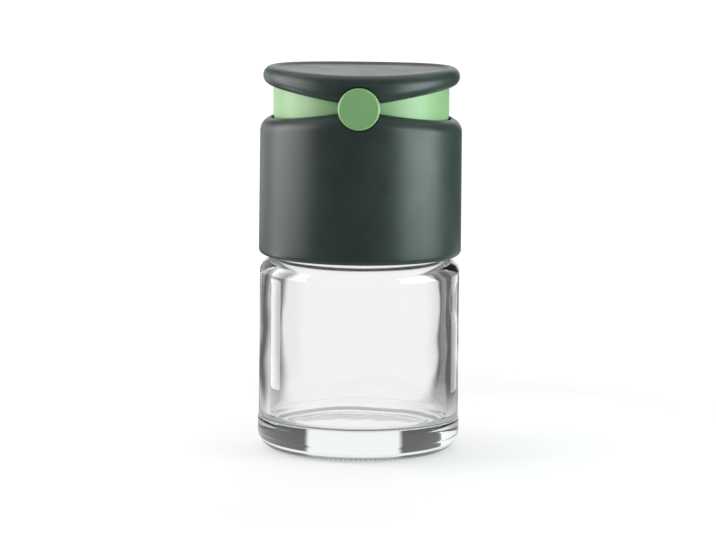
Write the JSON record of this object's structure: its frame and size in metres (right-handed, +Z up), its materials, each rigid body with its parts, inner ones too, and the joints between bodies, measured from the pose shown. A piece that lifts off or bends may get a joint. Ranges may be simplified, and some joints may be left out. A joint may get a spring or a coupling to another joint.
{
  "type": "spice container",
  "caption": "Round spice jar: thick clear glass under a screw-off dark head, whose rocker lid tips a green drum to pour on one side or sprinkle on the other.",
  "frame": {"origin": "centre of the foot, on the surface that the jar stands on", "axes": "+Z up along the jar's axis, -Y towards the front pivot, +X towards the sprinkling side"},
  "size_m": [0.06, 0.0612, 0.1138],
  "materials": {
    "clear_glass": "clear pressed glass, slightly wavy inside",
    "dark_plastic": "fine soft-touch matte",
    "green_plastic": "satin moulded",
    "pale_plastic": "plain moulded",
    "silicone": "translucent matte"
  },
  "bodies": {
    "jar": {"glass_jar": "clear_glass"},
    "seal": {"neck_seal": "silicone"},
    "head": {"threaded_sleeve": "pale_plastic", "wiping_seal": "silicone", "grip_collar": "dark_plastic", "front_pivot": "green_plastic", "rear_pivot": "green_plastic"},
    "rocker": {"dispensing_drum": "green_plastic", "rocker_lid": "dark_plastic"}
  },
  "joints": [
    {"name": "head_lift", "type": "slide", "parent": "jar", "child": "seal", "axis": [0, 0, 1], "range_m": [0, 0.00525]},
    {"name": "head_turn", "type": "hinge", "parent": "seal", "child": "head", "pos_m": [0, 0, 0.0755], "axis": [0, 0, 1], "range_deg": [0, 450]},
    {"name": "lid_rock", "type": "hinge", "parent": "head", "child": "rocker", "pos_m": [0, 0, 0.10355], "axis": [0, 1, 0], "range_deg": [-17, 17]}
  ],
  "couplings": [
    {"joint": "head_lift", "follows": "head_turn", "m_per_rad": 0.00066845}
  ]
}
